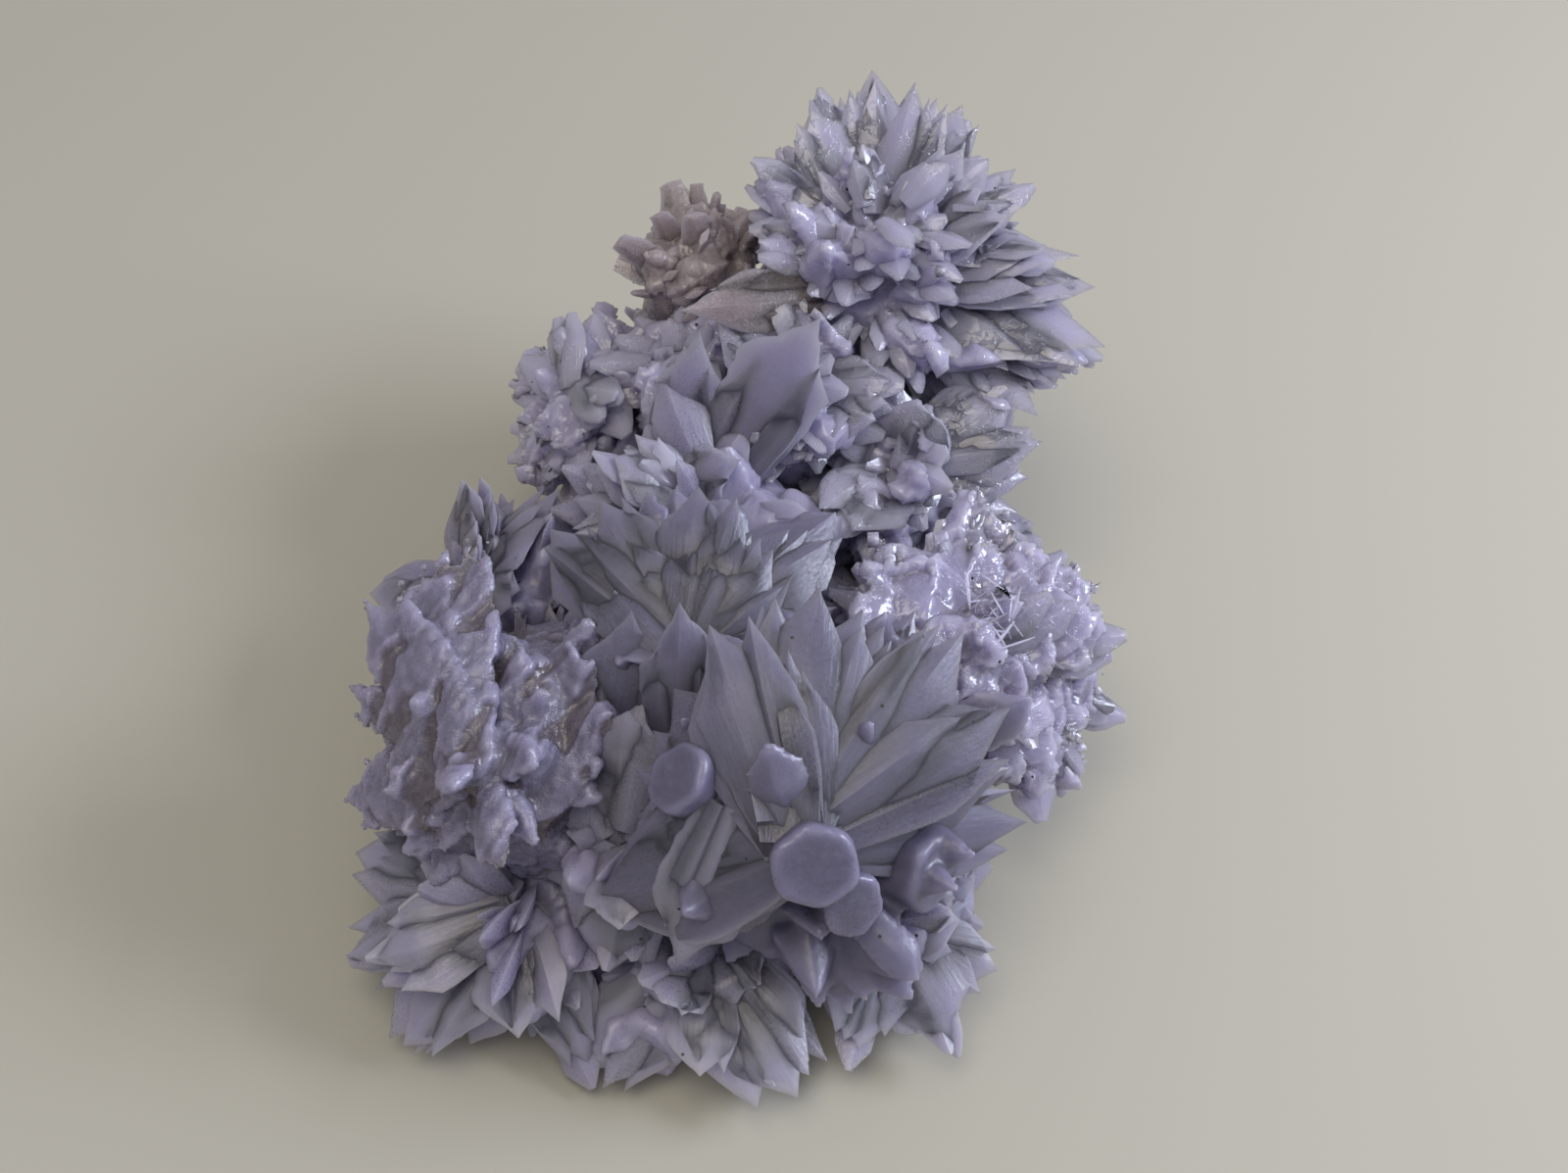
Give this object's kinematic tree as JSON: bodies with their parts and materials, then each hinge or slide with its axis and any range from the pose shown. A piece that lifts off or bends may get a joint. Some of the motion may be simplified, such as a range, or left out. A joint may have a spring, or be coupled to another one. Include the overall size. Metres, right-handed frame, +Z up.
{
  "type": "calcite on matrix",
  "caption": "Mineral specimen: sprays of pale lilac dogtooth calcite crystals over a block of brown limestone with a flat broken underside.",
  "frame": {"origin": "on the flat underside of the matrix, under the middle of the specimen", "axes": "+Z up, +Y along the length towards the narrow raised end, +X to the right seen from the broad front end"},
  "size_m": [0.0858, 0.1137, 0.057],
  "materials": {
    "limestone": "rough broken brown limestone",
    "frosted_calcite": "frosted translucent pale lilac-grey calcite",
    "etched_calcite": "etched glassy pale lilac calcite",
    "smoky_calcite": "smoky brown translucent calcite"
  },
  "bodies": {
    "root": {"matrix": "limestone", "front_spray": "frosted_calcite", "middle_spray": "frosted_calcite", "lower_left_spray": "frosted_calcite", "inner_left_spray": "frosted_calcite", "lower_front_spray": "frosted_calcite", "lower_right_spray": "frosted_calcite", "saddle_spray": "frosted_calcite", "crest_spray": "frosted_calcite", "collar_spray": "frosted_calcite", "neck_spray": "frosted_calcite", "upper_spray": "frosted_calcite", "back_spray": "frosted_calcite", "right_side_spray": "frosted_calcite", "left_side_spray": "frosted_calcite", "left_spray": "etched_calcite", "right_spray": "etched_calcite", "upper_left_spray": "etched_calcite", "brown_spray": "smoky_calcite"}
  },
  "joints": []
}
